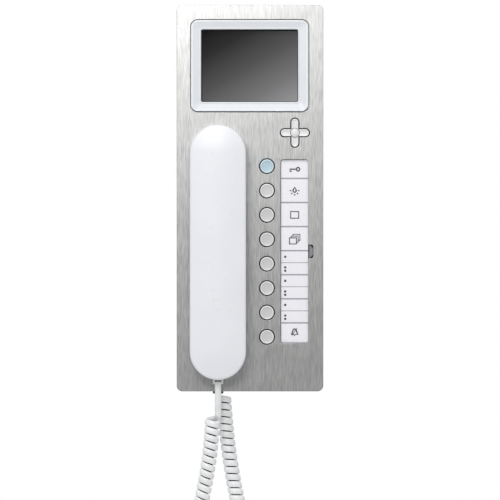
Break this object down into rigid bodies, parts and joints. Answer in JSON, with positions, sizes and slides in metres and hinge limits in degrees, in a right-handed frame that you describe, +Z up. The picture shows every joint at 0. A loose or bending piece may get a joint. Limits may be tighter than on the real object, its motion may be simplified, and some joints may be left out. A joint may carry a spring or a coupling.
{
  "type": "video intercom monitor",
  "caption": "Wall-mounted video intercom station: tall brushed-steel panel with a framed colour screen, a control cross, round keys beside a label strip, and a handset on a curly cord.",
  "frame": {"origin": "middle of the wall base's flat back face, which lies on the wall", "axes": "+Z up along the panel, +Y into the wall, +X to the right as seen from the front"},
  "size_m": [0.106, 0.0495, 0.4703],
  "materials": {
    "brushed_stainless": "vertically brushed stainless steel",
    "white_plastic": "white semi-gloss ABS",
    "housing_plastic": "light grey fine-grained ABS",
    "key_plastic": "satin silver-grey key plastic",
    "call_key_plastic": "satin light blue key plastic",
    "black_plastic": "black moulded plastic",
    "display_glass": "smoked display window",
    "clear_plastic": "clear polycarbonate",
    "circuit_board": "green solder-masked fibreglass board",
    "silicone": "grey silicone rubber",
    "card": "white label card",
    "steel": "zinc-plated steel",
    "terminal_plastic": "green terminal plastic",
    "capacitor_sleeve": "dark blue capacitor sleeve",
    "cord_jacket": "white flexible PVC"
  },
  "bodies": {
    "base": {"wall_base": "housing_plastic", "housing": "housing_plastic", "front_panel": "brushed_stainless", "monitor_bezel": "white_plastic", "label_tray": "white_plastic", "ear_rest": "white_plastic", "mouth_rest": "white_plastic", "display_window": "display_glass", "lcd_panel": "black_plastic", "hook_switch": "black_plastic", "nav_bracket": "black_plastic", "base_jack": "black_plastic", "ringer_speaker": "black_plastic", "display_board": "circuit_board", "main_board": "circuit_board", "keypad_board": "circuit_board", "key_mat": "silicone", "label_card": "card", "ribbon_cable": "card", "lcd_bracket": "steel", "keeper_plate": "steel", "shield_can": "steel", "hook_spring": "steel", "board_screw_1": "steel", "board_screw_2": "steel", "board_screw_3": "steel", "board_screw_4": "steel", "keypad_screw_1": "steel", "keypad_screw_2": "steel", "case_screw_1": "steel", "case_screw_2": "steel", "bus_terminal_block": "terminal_plastic", "electrolytic_capacitor": "capacitor_sleeve", "base_plug": "clear_plastic", "cord_curl": "cord_jacket", "cord_tail_base": "cord_jacket"},
    "handset": {"handset_front_shell": "white_plastic", "handset_rear_shell": "white_plastic", "earpiece_capsule": "black_plastic", "microphone_capsule": "steel", "handset_magnet": "steel", "handset_jack": "black_plastic", "handset_plug": "clear_plastic", "handset_screw_1": "steel", "handset_screw_2": "steel", "cord_tail_handset": "cord_jacket"},
    "key_1": {"key_1": "call_key_plastic"},
    "key_2": {"key_2": "key_plastic"},
    "key_3": {"key_3": "key_plastic"},
    "key_4": {"key_4": "key_plastic"},
    "key_5": {"key_5": "key_plastic"},
    "key_6": {"key_6": "key_plastic"},
    "key_7": {"key_7": "key_plastic"},
    "key_8": {"key_8": "key_plastic"},
    "nav_gimbal": {"nav_gimbal": "steel"},
    "nav_cross": {"nav_cross": "key_plastic"},
    "nav_ok_key": {"nav_ok_key": "key_plastic"},
    "label_cover": {"label_cover": "clear_plastic"},
    "hook_plunger": {"hook_plunger": "white_plastic"}
  },
  "joints": [
    {"name": "key_1_press", "type": "slide", "parent": "base", "child": "key_1", "axis": [0, 1, 0], "range_m": [0, 0.001], "stiffness_N_per_m": 400, "springref_m": -0.0005},
    {"name": "key_2_press", "type": "slide", "parent": "base", "child": "key_2", "axis": [0, 1, 0], "range_m": [0, 0.001], "stiffness_N_per_m": 400, "springref_m": -0.0005},
    {"name": "key_3_press", "type": "slide", "parent": "base", "child": "key_3", "axis": [0, 1, 0], "range_m": [0, 0.001], "stiffness_N_per_m": 400, "springref_m": -0.0005},
    {"name": "key_4_press", "type": "slide", "parent": "base", "child": "key_4", "axis": [0, 1, 0], "range_m": [0, 0.001], "stiffness_N_per_m": 400, "springref_m": -0.0005},
    {"name": "key_5_press", "type": "slide", "parent": "base", "child": "key_5", "axis": [0, 1, 0], "range_m": [0, 0.001], "stiffness_N_per_m": 400, "springref_m": -0.0005},
    {"name": "key_6_press", "type": "slide", "parent": "base", "child": "key_6", "axis": [0, 1, 0], "range_m": [0, 0.001], "stiffness_N_per_m": 400, "springref_m": -0.0005},
    {"name": "key_7_press", "type": "slide", "parent": "base", "child": "key_7", "axis": [0, 1, 0], "range_m": [0, 0.001], "stiffness_N_per_m": 400, "springref_m": -0.0005},
    {"name": "key_8_press", "type": "slide", "parent": "base", "child": "key_8", "axis": [0, 1, 0], "range_m": [0, 0.001], "stiffness_N_per_m": 400, "springref_m": -0.0005},
    {"name": "nav_tilt_up_down", "type": "hinge", "parent": "base", "child": "nav_gimbal", "pos_m": [0.0325, -0.018, 0.0473], "axis": [1, 0, 0], "range_deg": [-2.5, 2.5], "stiffness_Nm_per_rad": 0.3},
    {"name": "nav_tilt_left_right", "type": "hinge", "parent": "nav_gimbal", "child": "nav_cross", "pos_m": [0.0325, -0.018, 0.0473], "axis": [0, 0, 1], "range_deg": [-2.5, 2.5], "stiffness_Nm_per_rad": 0.3},
    {"name": "nav_ok_press", "type": "slide", "parent": "nav_cross", "child": "nav_ok_key", "axis": [0, 1, 0], "range_m": [0, 0.0006], "stiffness_N_per_m": 400, "springref_m": -0.0005},
    {"name": "label_cover_swing", "type": "hinge", "parent": "base", "child": "label_cover", "pos_m": [0.0234, -0.0253, -0.03855], "axis": [0, 0, -1], "range_deg": [0, 90]},
    {"name": "handset_lift", "type": "slide", "parent": "base", "child": "handset", "axis": [0, -1, 0], "range_m": [0, 0.06]},
    {"name": "hook_plunger_travel", "type": "slide", "parent": "base", "child": "hook_plunger", "axis": [0, -1, 0], "range_m": [0, 0.004], "deforming": ["hook_spring"]}
  ],
  "couplings": [
    {"joint": "hook_plunger_travel", "follows": "handset_lift", "ratio": 0.0666}
  ]
}
